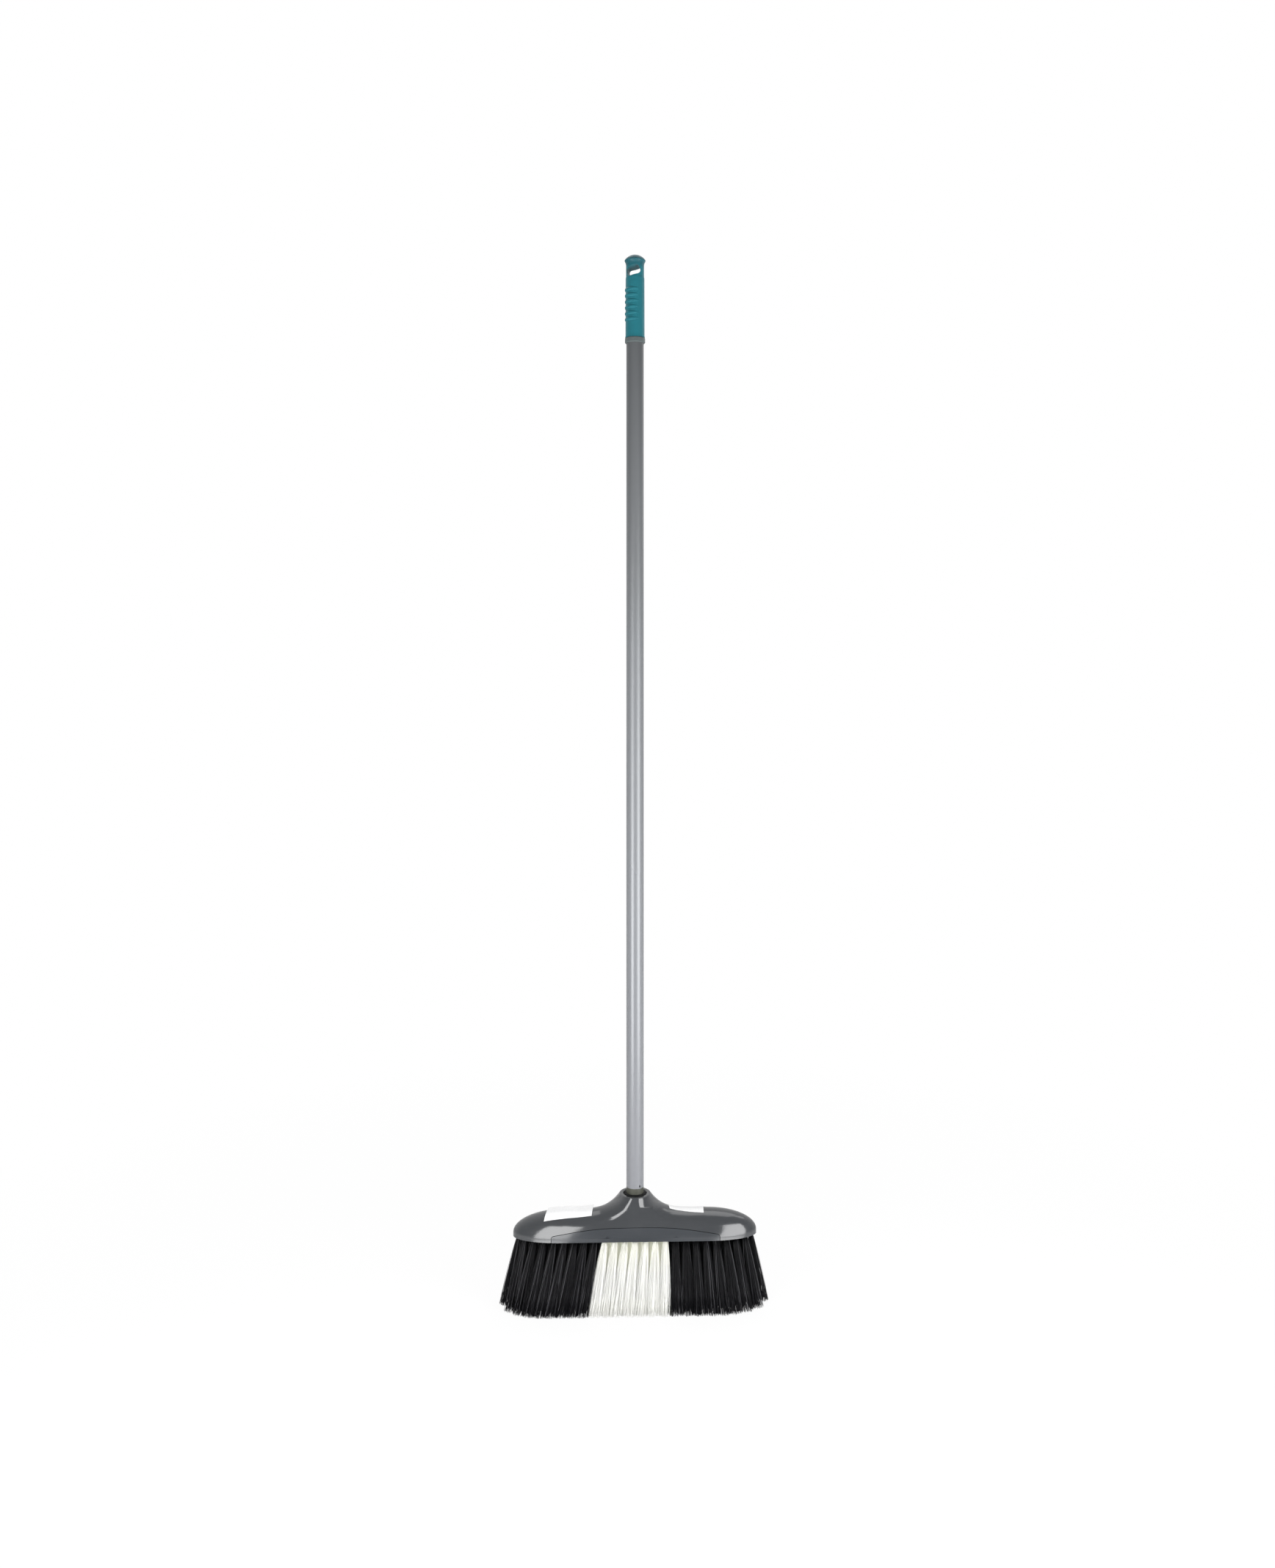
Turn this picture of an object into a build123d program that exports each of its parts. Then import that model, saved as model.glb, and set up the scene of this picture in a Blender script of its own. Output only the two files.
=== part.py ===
from build123d import *
import math
import os

os.makedirs("parts", exist_ok=True)

# A tufted broom with a screw-in tube handle, in millimetres. The origin lies on the floor under the
# middle of the bristle tips. X runs along the head, -Y is the front and Z is up.

# Head
head_length = 307.0
head_depth = 52.0
end_length = 62.0  # length of each rounded end
skirt_height = 4.5  # upright edge below the rounded top
head_wall = 2.4
rim_drop = 0.5  # how far the rim hangs below the tufted face

# Neck and threaded socket
neck_rise = 21.5  # mouth above the crest of the wings
mouth_radius = 19.2
neck_flare = 6.0  # a higher value makes the neck meet the wings more sharply
station_count = 9  # cross-sections on each side of the neck
station_bias = 1.6  # gathers them round the neck
funnel_radius = 15.0
funnel_depth = 2.3
seat_radius = 13.8
socket_radius = 9.8
socket_floor = 3.0
boss_wall = 4.2
mouth_web = 8.0  # solid web between the socket boss and the neck's skin
lip_round = 1.3
rib_thickness = 1.8
rib_spacing = 42.0
ribs_each_side = 2

# Tufted base and the aprons that it shows in the arched notches of the cover
base_thickness = 10.0
base_clearance = 0.2
slice_thickness = 1.5
slice_gap = 0.1  # between neighbouring slices of the tufted face
apron_half_length = 105.5
apron_height = 17.8
apron_end_height = 8.0
apron_corner = 4.0
seam_gap = 0.6

# Tufts
bristle_length = 86.5  # from the tufted face to the floor
edge_to_row = 5.4
row_step = 9.0
tuft_pitch = 12.7
white_tufts = 7  # tufts of the white block in the outer row, one fewer where a row is staggered
tuft_hole_radius = 2.5  # to the corners of the six-sided holes
tuft_hole_depth = 7.5
splay_length = 21.0  # outward lean of the end tufts at the floor
splay_depth = 22.0  # outward lean of the front and rear tufts at the floor
strand_sides = 3
strand_root_radius = 1.0
strand_tip_radius = 1.9
strand_root_spread = 1.3
strand_tip_spread = 4.3
staple_length = 4.6
staple_thickness = 0.6
staple_height = 1.8

# Handle tube
tube_radius = 11.0
tube_wall = 0.5
tube_length = 1139.0
crimp_width = 1.7
crimp_height = 3.4
crimp_offset = 1.2  # above the tube's lower end
crimp_turn = 31.0  # degrees to the right of the front
crimp_depth = 2.0  # recess in the ferrule behind each crimp slot

# Threaded ferrule and its friction washer
fit_clearance = 0.05
running_clearance = 0.08
plug_length = 40.0
plug_lead = 1.5
plug_core_radius = 7.6
plug_core_depth = 32.0
collar_height = 7.3
shank_radius = 8.6
shank_length = 28.0
shank_lead = 2.0
washer_thickness = 3.0
washer_edge = 0.4
washer_side_clearance = 0.3

# Grip
grip_length = 104.9
grip_base_radius = 12.05
grip_top_radius = 11.85
grip_sleeve_length = 74.9
grip_bore_depth = 67.9  # how far the tube goes in
grip_lip_radius = 12.4
grip_lip_height = 1.4
hole_neck_radius = 11.4
hole_neck_step = 2.2  # slope from the sleeve to the neck
hole_width = 17.4
hole_height = 12.3
hole_corner = 4.5
hole_height_on_grip = 83.7
hole_turn = 18.0  # degrees, with its rear end towards the right
hole_tilt = 14.0  # degrees, with its right end higher
cap_radius = 13.6
cap_underside = 91.1
cap_widest = 97.4
cap_round = 1.6
rib_count = 6
rib_pitch = 7.5
first_rib = 22.6  # lowest rib above the grip's base
rib_disc_radius = 11.6
rib_disc_shift = 1.6  # the discs stand off centre, so each rib fades out round the grip
rib_height = 4.8
rib_edge = 1.4
rib_turn = 52.0  # degrees to the left of the front
ring_radius = 12.75
ring_height = 6.9
ring_edge = 1.0

# Heights and lengths that follow from the sizes above
tuft_face = bristle_length
rim_z = tuft_face - rim_drop
spine_z = rim_z + skirt_height
half_depth = head_depth / 2
straight_half = head_length / 2 - end_length
lip_z = spine_z + half_depth + neck_rise
base_bottom = tuft_face + slice_thickness
base_top = base_bottom + base_thickness
base_inset = head_wall + base_clearance
seat_z = lip_z - funnel_depth
washer_top = seat_z + washer_thickness
tube_bottom = washer_top + collar_height
tube_top = tube_bottom + tube_length
grip_base = tube_top - grip_bore_depth
first_row_inset = base_inset + edge_to_row
overcut = 5.0  # extra reach of a cutting solid past the faces that it cuts


def racetrack_line(inset):
    """The head's plan as one closed line, drawn in by inset, starting at the middle of the front."""
    depth = half_depth - inset
    end = end_length - inset
    with BuildLine() as line:
        Line((0, -depth), (straight_half, -depth))
        EllipticalCenterArc((straight_half, 0), end, depth, -90)
        EllipticalCenterArc((straight_half, 0), end, depth, 0)
        Line((straight_half, depth), (-straight_half, depth))
        EllipticalCenterArc((-straight_half, 0), end, depth, 90)
        EllipticalCenterArc((-straight_half, 0), end, depth, 180)
        Line((-straight_half, -depth), (0, -depth))
    return line.wire()


def racetrack(inset):
    """The head's plan as a face, drawn in by inset."""
    return make_face(racetrack_line(inset), mode=Mode.PRIVATE)


def arch_height(x, inset):
    """Height of the head's cross-section above its spine at x.

    Cut level at the mouth, these half ellipses leave a round neck. Away from it they settle into the
    half-round wings.
    """
    depth = half_depth - inset
    mouth = mouth_radius - inset
    neck = (lip_z - spine_z) * depth / math.sqrt(depth**2 - mouth**2 + x**2)
    blended = (neck**neck_flare + depth**neck_flare) ** (1 / neck_flare)
    fade = 1 - (x / straight_half) ** 4
    return depth + (blended - depth) * fade


def arch_stations():
    """Places of the cross-sections along the head, close together round the neck."""
    right = [straight_half * (k / station_count) ** station_bias for k in range(1, station_count + 1)]
    return [-x for x in reversed(right)] + [0.0] + right


def head_form(inset):
    """The head's outer form as a solid, drawn in by inset and reaching below the rim where inset."""
    depth = half_depth - inset
    end = end_length - inset
    foot = rim_z - (overcut if inset else 0)
    with BuildPart() as round_end:
        with BuildSketch():
            with BuildLine():
                EllipticalCenterArc((0, 0), end, depth, 0)
                Polyline((end, 0), (0, 0), (0, depth))
            make_face()
        revolve(axis=Axis.X, revolution_arc=180)
    with BuildPart() as form:
        for x in arch_stations():
            with BuildSketch(Plane.YZ.offset(x)):
                with BuildLine():
                    height = arch_height(x, inset)
                    Line((-depth, spine_z), (depth, spine_z))
                    EllipticalCenterArc((0, spine_z), depth, height, 0)
                    EllipticalCenterArc((0, spine_z), depth, height, 90)
                make_face()
        loft()
        with Locations((straight_half, 0, spine_z), Location((-straight_half, 0, spine_z), (0, 0, 180))):
            add(round_end.part)
        with BuildSketch(Plane.XY.offset(foot)):
            add(racetrack(inset))
        extrude(amount=spine_z - foot)
        split(bisect_by=Plane.XY.offset(lip_z), keep=Keep.BOTTOM)
    return form.part


def apron_prism(inset):
    """The arched front panel, drawn in by inset on its upper edges, run through the head's depth."""
    side = apron_half_length - inset
    foot = rim_z - overcut
    with BuildPart() as prism:
        with BuildSketch(Plane.XZ):
            with BuildLine():
                Polyline(
                    (-side, rim_z + apron_end_height - inset),
                    (-side, foot),
                    (side, foot),
                    (side, rim_z + apron_end_height - inset),
                )
                ThreePointArc(
                    (side, rim_z + apron_end_height - inset),
                    (0, rim_z + apron_height - inset),
                    (-side, rim_z + apron_end_height - inset),
                )
            arch = make_face()
            fillet(arch.vertices().group_by(Axis.Y)[-1], apron_corner - inset)
        extrude(amount=head_depth, both=True)
    return prism.part


outer_form = head_form(0)
inner_form = head_form(head_wall)

# Space inside the cover: its skin less the socket's boss and the cross ribs that press on the base
with BuildPart() as hollow:
    add(inner_form)
    split(bisect_by=Plane.XY.offset(lip_z - mouth_web), keep=Keep.BOTTOM)
    with Locations((0, 0, base_top)):
        Cylinder(
            socket_radius + boss_wall,
            lip_z - base_top,
            align=(Align.CENTER, Align.CENTER, Align.MIN),
            mode=Mode.SUBTRACT,
        )
    rib_steps = [k for k in range(-ribs_each_side, ribs_each_side + 1) if k]
    with Locations(*[(k * rib_spacing, 0, base_top) for k in rib_steps]):
        Box(
            rib_thickness,
            head_depth,
            lip_z - base_top,
            align=(Align.CENTER, Align.CENTER, Align.MIN),
            mode=Mode.SUBTRACT,
        )

# The arched notches, through the cover's skin only
with BuildPart() as notch:
    add(apron_prism(0))
    add(inner_form, mode=Mode.SUBTRACT)

# Moulded cover with the flared neck, the socket and an arched notch at front and rear
with BuildPart() as head_cover:
    add(outer_form)
    fillet(head_cover.faces().filter_by(GeomType.PLANE).sort_by(Axis.Z)[-1].edges(), lip_round)
    add(hollow.part, mode=Mode.SUBTRACT)
    with Locations((0, 0, seat_z)):
        Cone(
            seat_radius,
            funnel_radius,
            funnel_depth,
            align=(Align.CENTER, Align.CENTER, Align.MIN),
            mode=Mode.SUBTRACT,
        )
        Cylinder(
            socket_radius,
            seat_z - base_top - socket_floor,
            align=(Align.CENTER, Align.CENTER, Align.MAX),
            mode=Mode.SUBTRACT,
        )
    fillet(head_cover.edges().filter_by(GeomType.CIRCLE).sort_by(Axis.Z)[-1], lip_round)
    add(notch.part, mode=Mode.SUBTRACT)
head_cover.part.label = "head_cover"
export_step(head_cover.part, "parts/head_cover.step")


def row_line(row):
    """The line that a row of tufts stands on: closed rows follow the plan, the middle row is straight."""
    inset = first_row_inset + row * row_step
    if inset < half_depth - row_step / 2:
        return racetrack_line(inset)
    reach = straight_half + end_length - inset
    return Edge.make_line((-reach, 0), (reach, 0))


def row_spacing(row):
    """Distance between tufts along a row, with one tuft at the middle of the front and of the rear."""
    line = row_line(row)
    return line.length / (2 * round(line.length / (2 * tuft_pitch)))


def row_roots(row):
    """Places of a row's tufts on the base, every second row staggered by half a step."""
    line = row_line(row)
    spacing = row_spacing(row)
    gaps = round(line.length / spacing)
    count = gaps if line.is_closed else gaps + 1
    steps = [k + (row % 2) / 2 for k in range(count)]
    return [line.position_at(step * spacing, position_mode=PositionMode.LENGTH) for step in steps]


row_names = ("outer", "inner", "middle")
closed_zones = ("left", "centre_front", "centre_rear", "right")
straight_zones = ("left", "centre", "right")
tuft_roots = [root for row in range(len(row_names)) for root in row_roots(row)]

# Tufted base: a plate inside the cover, with a tuft hole for each tuft and an apron at front and rear
with BuildPart() as apron:
    add(outer_form)
    add(apron_prism(seam_gap), mode=Mode.INTERSECT)
    add(inner_form, mode=Mode.SUBTRACT)

with BuildPart() as apron_root:
    add(head_form(head_wall / 2))
    add(apron_prism(seam_gap), mode=Mode.INTERSECT)
    split(bisect_by=Plane.XY.offset(base_bottom), keep=Keep.TOP)
    split(bisect_by=Plane.XY.offset(base_top), keep=Keep.BOTTOM)

with BuildPart() as bristle_base:
    add(head_form(base_inset))
    split(bisect_by=Plane.XY.offset(base_bottom), keep=Keep.TOP)
    split(bisect_by=Plane.XY.offset(base_top), keep=Keep.BOTTOM)
    add(apron_root.part)
    add(apron.part)
    with BuildSketch(Plane.XY.offset(base_bottom)):
        with Locations(*[(root.X, root.Y) for root in tuft_roots]):
            RegularPolygon(tuft_hole_radius, 6)
    extrude(amount=tuft_hole_depth, mode=Mode.SUBTRACT)
bristle_base.part.label = "bristle_base"
export_step(bristle_base.part, "parts/bristle_base.step")

# Flat wire staples, each across the blind end of a tuft hole
with BuildPart() as tuft_staples:
    with Locations(*[(root.X, root.Y, base_bottom + tuft_hole_depth) for root in tuft_roots]):
        Box(staple_length, staple_thickness, staple_height, align=(Align.CENTER, Align.CENTER, Align.MAX))
tuft_staples.part.label = "tuft_staples"
export_step(tuft_staples.part, "parts/tuft_staples.step")


def strand(start, tip, angle):
    """One straight strand with flat sides, from its root to its wider cut tip."""
    spokes = [Vector(1, 0, 0).rotate(Axis.Z, angle + k * 360 / strand_sides) for k in range(strand_sides)]
    root_corners = [start + spoke * strand_root_radius for spoke in spokes]
    tip_corners = [tip + spoke * strand_tip_radius for spoke in spokes]
    faces = [Face(Wire.make_polygon(root_corners)), Face(Wire.make_polygon(tip_corners))]
    for k in range(strand_sides):
        side = [root_corners[k - 1], root_corners[k], tip_corners[k], tip_corners[k - 1]]
        faces.append(Face(Wire.make_polygon(side)))
    return Solid(Shell(faces))


def tuft_strands(root):
    """The strands of one tuft, from its root to its splayed tips on the floor.

    Tips are the roots scaled outwards about the middle of the head, so no two strands cross.
    """
    lean_x = 1 + splay_length / (head_length / 2 - first_row_inset)
    lean_y = 1 + splay_depth / (half_depth - first_row_inset)
    strands = []
    for angle in (45, 135, 225, 315):
        across = Vector(1, 0, 0).rotate(Axis.Z, angle)
        start = Vector(root.X, root.Y, tuft_face) + across * strand_root_spread
        tip = Vector(root.X * lean_x, root.Y * lean_y, 0) + across * strand_tip_spread
        strands.append(strand(start, tip, angle))
    return strands


def bristle_node(row, zone):
    """One row of tufts in one colour zone, on its slice of the base's tufted face."""
    block_half = (white_tufts - row % 2) * row_spacing(row) / 2
    zone_low = -head_length if zone == "left" else block_half if zone == "right" else -block_half
    zone_high = head_length if zone == "right" else -block_half if zone == "left" else block_half
    zone_front = 0 if zone == "centre_rear" else -head_depth
    zone_rear = 0 if zone == "centre_front" else head_depth
    strands = []
    for root in row_roots(row):
        if zone_low < root.X < zone_high and zone_front < root.Y < zone_rear:
            strands.extend(tuft_strands(root))
    outer_inset = first_row_inset + (row - 0.5) * row_step + slice_gap if row else base_inset
    inner_inset = first_row_inset + (row + 0.5) * row_step
    with BuildPart() as node:
        with BuildSketch(Plane.XY.offset(tuft_face)):
            add(racetrack(outer_inset))
            if inner_inset < half_depth:
                add(racetrack(inner_inset), mode=Mode.SUBTRACT)
            with Locations(((zone_low + zone_high) / 2, (zone_front + zone_rear) / 2)):
                Rectangle(zone_high - zone_low - slice_gap, zone_rear - zone_front, mode=Mode.INTERSECT)
        extrude(amount=slice_thickness)
        add(strands)
    return node.part


for row, row_name in enumerate(row_names):
    closed_row = row_line(row).is_closed
    for zone in closed_zones if closed_row else straight_zones:
        bristles = bristle_node(row, zone)
        bristles.label = f"bristles_{zone}_{row_name}"
        export_step(bristles, f"parts/{bristles.label}.step")

# Rubber washer on the socket's seat, loose on the ferrule's shank
with BuildPart() as friction_washer:
    with Locations((0, 0, seat_z)):
        Cylinder(
            seat_radius - washer_side_clearance,
            washer_thickness,
            align=(Align.CENTER, Align.CENTER, Align.MIN),
        )
        Cylinder(
            shank_radius + running_clearance,
            washer_thickness,
            align=(Align.CENTER, Align.CENTER, Align.MIN),
            mode=Mode.SUBTRACT,
        )
    chamfer(friction_washer.edges().filter_by(GeomType.CIRCLE).group_by(SortBy.RADIUS)[-1], washer_edge)
friction_washer.part.label = "friction_washer"
export_step(friction_washer.part, "parts/friction_washer.step")

# Ferrule: a plug that the tube is crimped on, a collar as wide as the tube and a shank for the thread
with BuildPart() as thread_ferrule:
    plug_radius = tube_radius - tube_wall - fit_clearance
    shank_end = washer_top - shank_length
    plug_end = tube_bottom + plug_length
    with BuildSketch(Plane.XZ):
        with BuildLine():
            Polyline(
                (0, shank_end),
                (shank_radius - shank_lead, shank_end),
                (shank_radius, shank_end + shank_lead),
                (shank_radius, washer_top),
                (tube_radius, washer_top),
                (tube_radius, tube_bottom),
                (plug_radius, tube_bottom),
                (plug_radius, plug_end - plug_lead),
                (plug_radius - plug_lead / 2, plug_end),
                (plug_core_radius, plug_end),
                (plug_core_radius, plug_end - plug_core_depth),
                (0, plug_end - plug_core_depth),
                close=True,
            )
        make_face()
    revolve(axis=Axis.Z)
    for turn in (crimp_turn, crimp_turn + 180):
        with BuildSketch(Plane.XZ.rotated((0, 0, turn)).offset(plug_radius - crimp_depth)):
            with Locations((0, tube_bottom + crimp_offset + crimp_height / 2)):
                SlotOverall(crimp_height, crimp_width, rotation=90)
        extrude(amount=crimp_depth + overcut, mode=Mode.SUBTRACT)
thread_ferrule.part.label = "thread_ferrule"
export_step(thread_ferrule.part, "parts/thread_ferrule.step")

# Thin steel tube with two crimp slots that lock the ferrule
with BuildPart() as handle_tube:
    with BuildSketch(Plane.XY.offset(tube_bottom)):
        Circle(tube_radius)
        Circle(tube_radius - tube_wall, mode=Mode.SUBTRACT)
    extrude(amount=tube_length)
    with BuildSketch(Plane.XZ.rotated((0, 0, crimp_turn))):
        with Locations((0, tube_bottom + crimp_offset + crimp_height / 2)):
            SlotOverall(crimp_height, crimp_width, rotation=90)
    extrude(amount=tube_radius + overcut, both=True, mode=Mode.SUBTRACT)
handle_tube.part.label = "handle_tube"
export_step(handle_tube.part, "parts/handle_tube.step")

# Grip rib: a disc with a sloped rim
with BuildPart() as rib_disc:
    Cylinder(rib_disc_radius, rib_height)
    chamfer(rib_disc.edges().filter_by(GeomType.CIRCLE), rib_edge)

# Grip: a sleeve over the tube, finger ribs at the front left, a hanging hole and a domed cap
with BuildPart() as grip:
    with BuildSketch(Plane.XZ):
        with BuildLine():
            cap_side = grip_base + cap_widest
            Polyline(
                (0, grip_base + grip_length),
                (0, grip_base),
                (grip_lip_radius, grip_base),
                (grip_lip_radius, grip_base + grip_lip_height),
                (grip_base_radius, grip_base + grip_lip_height),
                (grip_top_radius, grip_base + grip_sleeve_length),
                (hole_neck_radius, grip_base + grip_sleeve_length + hole_neck_step),
                (hole_neck_radius, grip_base + cap_underside),
            )
            TangentArc((hole_neck_radius, grip_base + cap_underside), (cap_radius, cap_side), tangent=(0, 1))
            TangentArc((0, grip_base + grip_length), (cap_radius, cap_side), tangent=(1, 0))
        profile = make_face()
        fillet(profile.vertices().sort_by(Axis.X)[-1], cap_round)
    revolve(axis=Axis.Z)
    shift = Vector(0, -rib_disc_shift, 0).rotate(Axis.Z, -rib_turn)
    rib_heights = [grip_base + first_rib + k * rib_pitch for k in range(rib_count)]
    with Locations(*[(shift.X, shift.Y, height) for height in rib_heights]):
        add(rib_disc.part)
    with BuildSketch(Plane.XZ.rotated((0, 0, -hole_turn))):
        with Locations((0, grip_base + hole_height_on_grip)):
            RectangleRounded(hole_width, hole_height, hole_corner, rotation=hole_tilt)
    extrude(amount=cap_radius + overcut, both=True, mode=Mode.SUBTRACT)
    with Locations((0, 0, grip_base)):
        Cylinder(
            tube_radius + fit_clearance,
            grip_bore_depth,
            align=(Align.CENTER, Align.CENTER, Align.MIN),
            mode=Mode.SUBTRACT,
        )
grip.part.label = "grip"
export_step(grip.part, "parts/grip.step")

# Ring that trims the lower end of the grip
with BuildPart() as grip_ring:
    with BuildSketch(Plane.XY.offset(grip_base)):
        Circle(ring_radius)
        Circle(tube_radius + fit_clearance, mode=Mode.SUBTRACT)
    extrude(amount=-ring_height)
    chamfer(grip_ring.edges().filter_by(GeomType.CIRCLE).group_by(SortBy.RADIUS)[-1], ring_edge)
grip_ring.part.label = "grip_ring"
export_step(grip_ring.part, "parts/grip_ring.step")
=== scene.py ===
import bpy
import math
import random
from mathutils import Matrix, Vector
from mathutils.bvhtree import BVHTree


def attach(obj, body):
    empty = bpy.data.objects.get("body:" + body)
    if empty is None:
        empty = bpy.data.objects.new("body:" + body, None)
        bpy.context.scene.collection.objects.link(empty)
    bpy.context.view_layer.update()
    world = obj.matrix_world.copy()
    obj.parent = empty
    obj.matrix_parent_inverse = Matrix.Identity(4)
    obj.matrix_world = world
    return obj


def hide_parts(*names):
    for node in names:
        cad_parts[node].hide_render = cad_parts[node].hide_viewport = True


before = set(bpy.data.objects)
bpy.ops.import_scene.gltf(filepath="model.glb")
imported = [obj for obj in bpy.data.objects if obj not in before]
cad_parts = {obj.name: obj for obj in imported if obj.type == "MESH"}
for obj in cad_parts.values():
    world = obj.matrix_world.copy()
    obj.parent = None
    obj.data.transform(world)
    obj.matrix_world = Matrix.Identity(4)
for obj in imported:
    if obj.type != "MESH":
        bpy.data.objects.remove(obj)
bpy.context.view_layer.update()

# Sizes of the broom, in metres
HEAD_HALF_DEPTH = 0.026
HEAD_END = 0.062
STRAIGHT_HALF = 0.0915
SPINE_HEIGHT = 0.0905
TUBE_FOOT = 0.146
TUBE_TOP = 1.285
TUBE_EDGE = 0.0005
CAP_FOOT = 1.304
CAP_RIM = 1.310

# Tufts: their rows under the base, and where their tips stand on the floor
TUFT_FACE = 0.0865
ROOT_DEPTH = 0.001
ROW_INSETS = {"outer": 0.008, "inner": 0.017, "middle": 0.026}
STAGGERED_ROW = "inner"
TUFT_PITCH = 0.0127
WHITE_TUFTS = 7
ROUND_END_STEPS = 200
TIP_HEIGHT = 0.0002
TIP_REACH_ALONG = 0.1594
TIP_REACH_ACROSS = 0.0360
TIP_SET = -0.0096
TIP_SET_SKEW = 0.65
TIP_SCATTER = 0.0012
TIP_SCATTER_SEED = 5
LEFT_END_SET = -0.0020

# Filaments of a tuft
FILAMENTS_IN_A_TUFT = 260
FILAMENT_RADIUS = 0.00024
FILAMENT_TAPER = 0.3
ROOT_RADIUS = 0.0028
SPREAD_ALONG = 0.0100
SPREAD_ACROSS = 0.0080
FAN_CURVE = 0.9
FILAMENT_BOW = 0.0010
UNEVEN_WHITE_CUT = 0.006
UNEVEN_DARK_CUT = 0.010
FIRST_SEED = 31
SEED_STEP = 20

# Thread of the ferrule
THREAD_PITCH = 0.005
THREAD_LENGTH = 0.022
THREAD_FOOT = 0.1127
THREAD_PATH_RADIUS = 0.00895
THREAD_RIDGE_WIDTH = 0.0034
THREAD_RIDGE_CREST = 0.0014
THREAD_RIDGE_HEIGHT = 0.0011

# Labels: corners from the low left one round, as places along the head and degrees over the shoulder
LEFT_LABEL = ((-0.1145, 50), (-0.0550, 62), (-0.0520, 112), (-0.1100, 110))
LEFT_LABEL_LEAVES = 90
RIGHT_LABEL = ((0.0435, 80), (0.0860, 68), (0.0870, 112), (0.0415, 112))
RIGHT_LABEL_LEAVES = 180
LABEL_COLUMNS = 40
LABEL_ROWS = 24
LABEL_UNDERSIDE = 0.00006
LABEL_FACE = 0.00022
LABEL_LAST_BEND = 10
RAY_START = 0.1


# Wiring of node trees


def opaque(colour):
    """A colour with its alpha, or a socket as it is."""
    return (*colour, 1) if isinstance(colour, tuple) else colour


class Wiring:
    """A node tree, with short calls to add and join its nodes."""

    def __init__(self, tree):
        self.tree = tree

    def node(self, kind, sockets=(), **settings):
        made = self.tree.nodes.new(kind)
        for key, value in settings.items():
            setattr(made, key, value)
        for key, value in dict(sockets).items():
            self.feed(made.inputs[key], value)
        return made

    def feed(self, socket, value):
        if isinstance(value, bpy.types.NodeSocket):
            self.tree.links.new(value, socket)
        else:
            socket.default_value = value

    def maths(self, operation, first, second=0.0):
        return self.node("ShaderNodeMath", {0: first, 1: second}, operation=operation).outputs[0]

    def product(self, result, *factors):
        for factor in factors:
            result = self.maths("MULTIPLY", result, factor)
        return result

    def total(self, result, *terms):
        for term in terms:
            result = self.maths("ADD", result, term)
        return result

    def vector(self, operation, *inputs):
        return self.node("ShaderNodeVectorMath", dict(enumerate(inputs)), operation=operation).outputs[0]

    def xyz(self, x, y, z):
        return self.node("ShaderNodeCombineXYZ", {0: x, 1: y, 2: z}).outputs[0]


class Shading(Wiring):
    """The node tree of a material or of the world."""

    def span(self, source, low, high, to_low=0.0, to_high=1.0, steps="LINEAR"):
        sockets = {"Value": source, "From Min": low, "From Max": high, "To Min": to_low, "To Max": to_high}
        return self.node("ShaderNodeMapRange", sockets, interpolation_type=steps).outputs["Result"]

    def seen_or_lit(self, share, lit, seen, output):
        """Shows one shader to the camera, by a share, and another to everything else."""
        blend = self.node("ShaderNodeMixShader", {0: share, 1: lit.outputs[0], 2: seen.outputs[0]})
        self.node(output, {"Surface": blend.outputs[0]})

    def camera_ray(self):
        return self.node("ShaderNodeLightPath").outputs["Is Camera Ray"]


class Finish(Shading):
    """A material of one surface, with patterns on the piece's own coordinates."""

    def __init__(self, name):
        self.material = bpy.data.materials.new(name)
        self.material.use_nodes = True
        super().__init__(self.material.node_tree)
        self.surface = self.tree.nodes["Principled BSDF"]
        self.place = self.node("ShaderNodeTexCoord").outputs["Object"]

    def set(self, **values):
        for key, value in values.items():
            self.feed(self.surface.inputs[key.replace("_", " ")], value)

    def axis(self, name):
        return self.node("ShaderNodeSeparateXYZ", {"Vector": self.place}).outputs[name]

    def noise(self, scale, detail=3.0, roughness=0.55, stretch=(1, 1, 1)):
        mapped = self.node("ShaderNodeMapping", {"Vector": self.place, "Scale": stretch}).outputs["Vector"]
        sockets = {"Vector": mapped, "Scale": scale, "Detail": detail, "Roughness": roughness}
        return self.node("ShaderNodeTexNoise", sockets).outputs["Fac"]

    def ramp(self, source, *stops):
        made = self.node("ShaderNodeValToRGB", {"Fac": source})
        ramp = made.color_ramp
        while len(ramp.elements) < len(stops):
            ramp.elements.new(0.5)
        for element, (position, colour) in zip(ramp.elements, stops):
            element.position = position
            element.color = opaque(colour)
        return made.outputs["Color"]

    def mix(self, factor, first, second, kind="MIX"):
        """Mixes two colours, by the colour sockets of the node, which has others of the same names."""
        colours = {0: factor, 6: opaque(first), 7: opaque(second)}
        return self.node("ShaderNodeMix", data_type="RGBA", blend_type=kind, sockets=colours).outputs[2]

    def bump(self, source, strength, distance, normal=None):
        made = self.node("ShaderNodeBump", {"Height": source, "Strength": strength, "Distance": distance})
        if normal is not None:
            self.feed(made.inputs["Normal"], normal)
        self.set(Normal=made.outputs["Normal"])


# Form of the head's skin, as a shading normal, with heights and distances from the middle in metres

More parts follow.
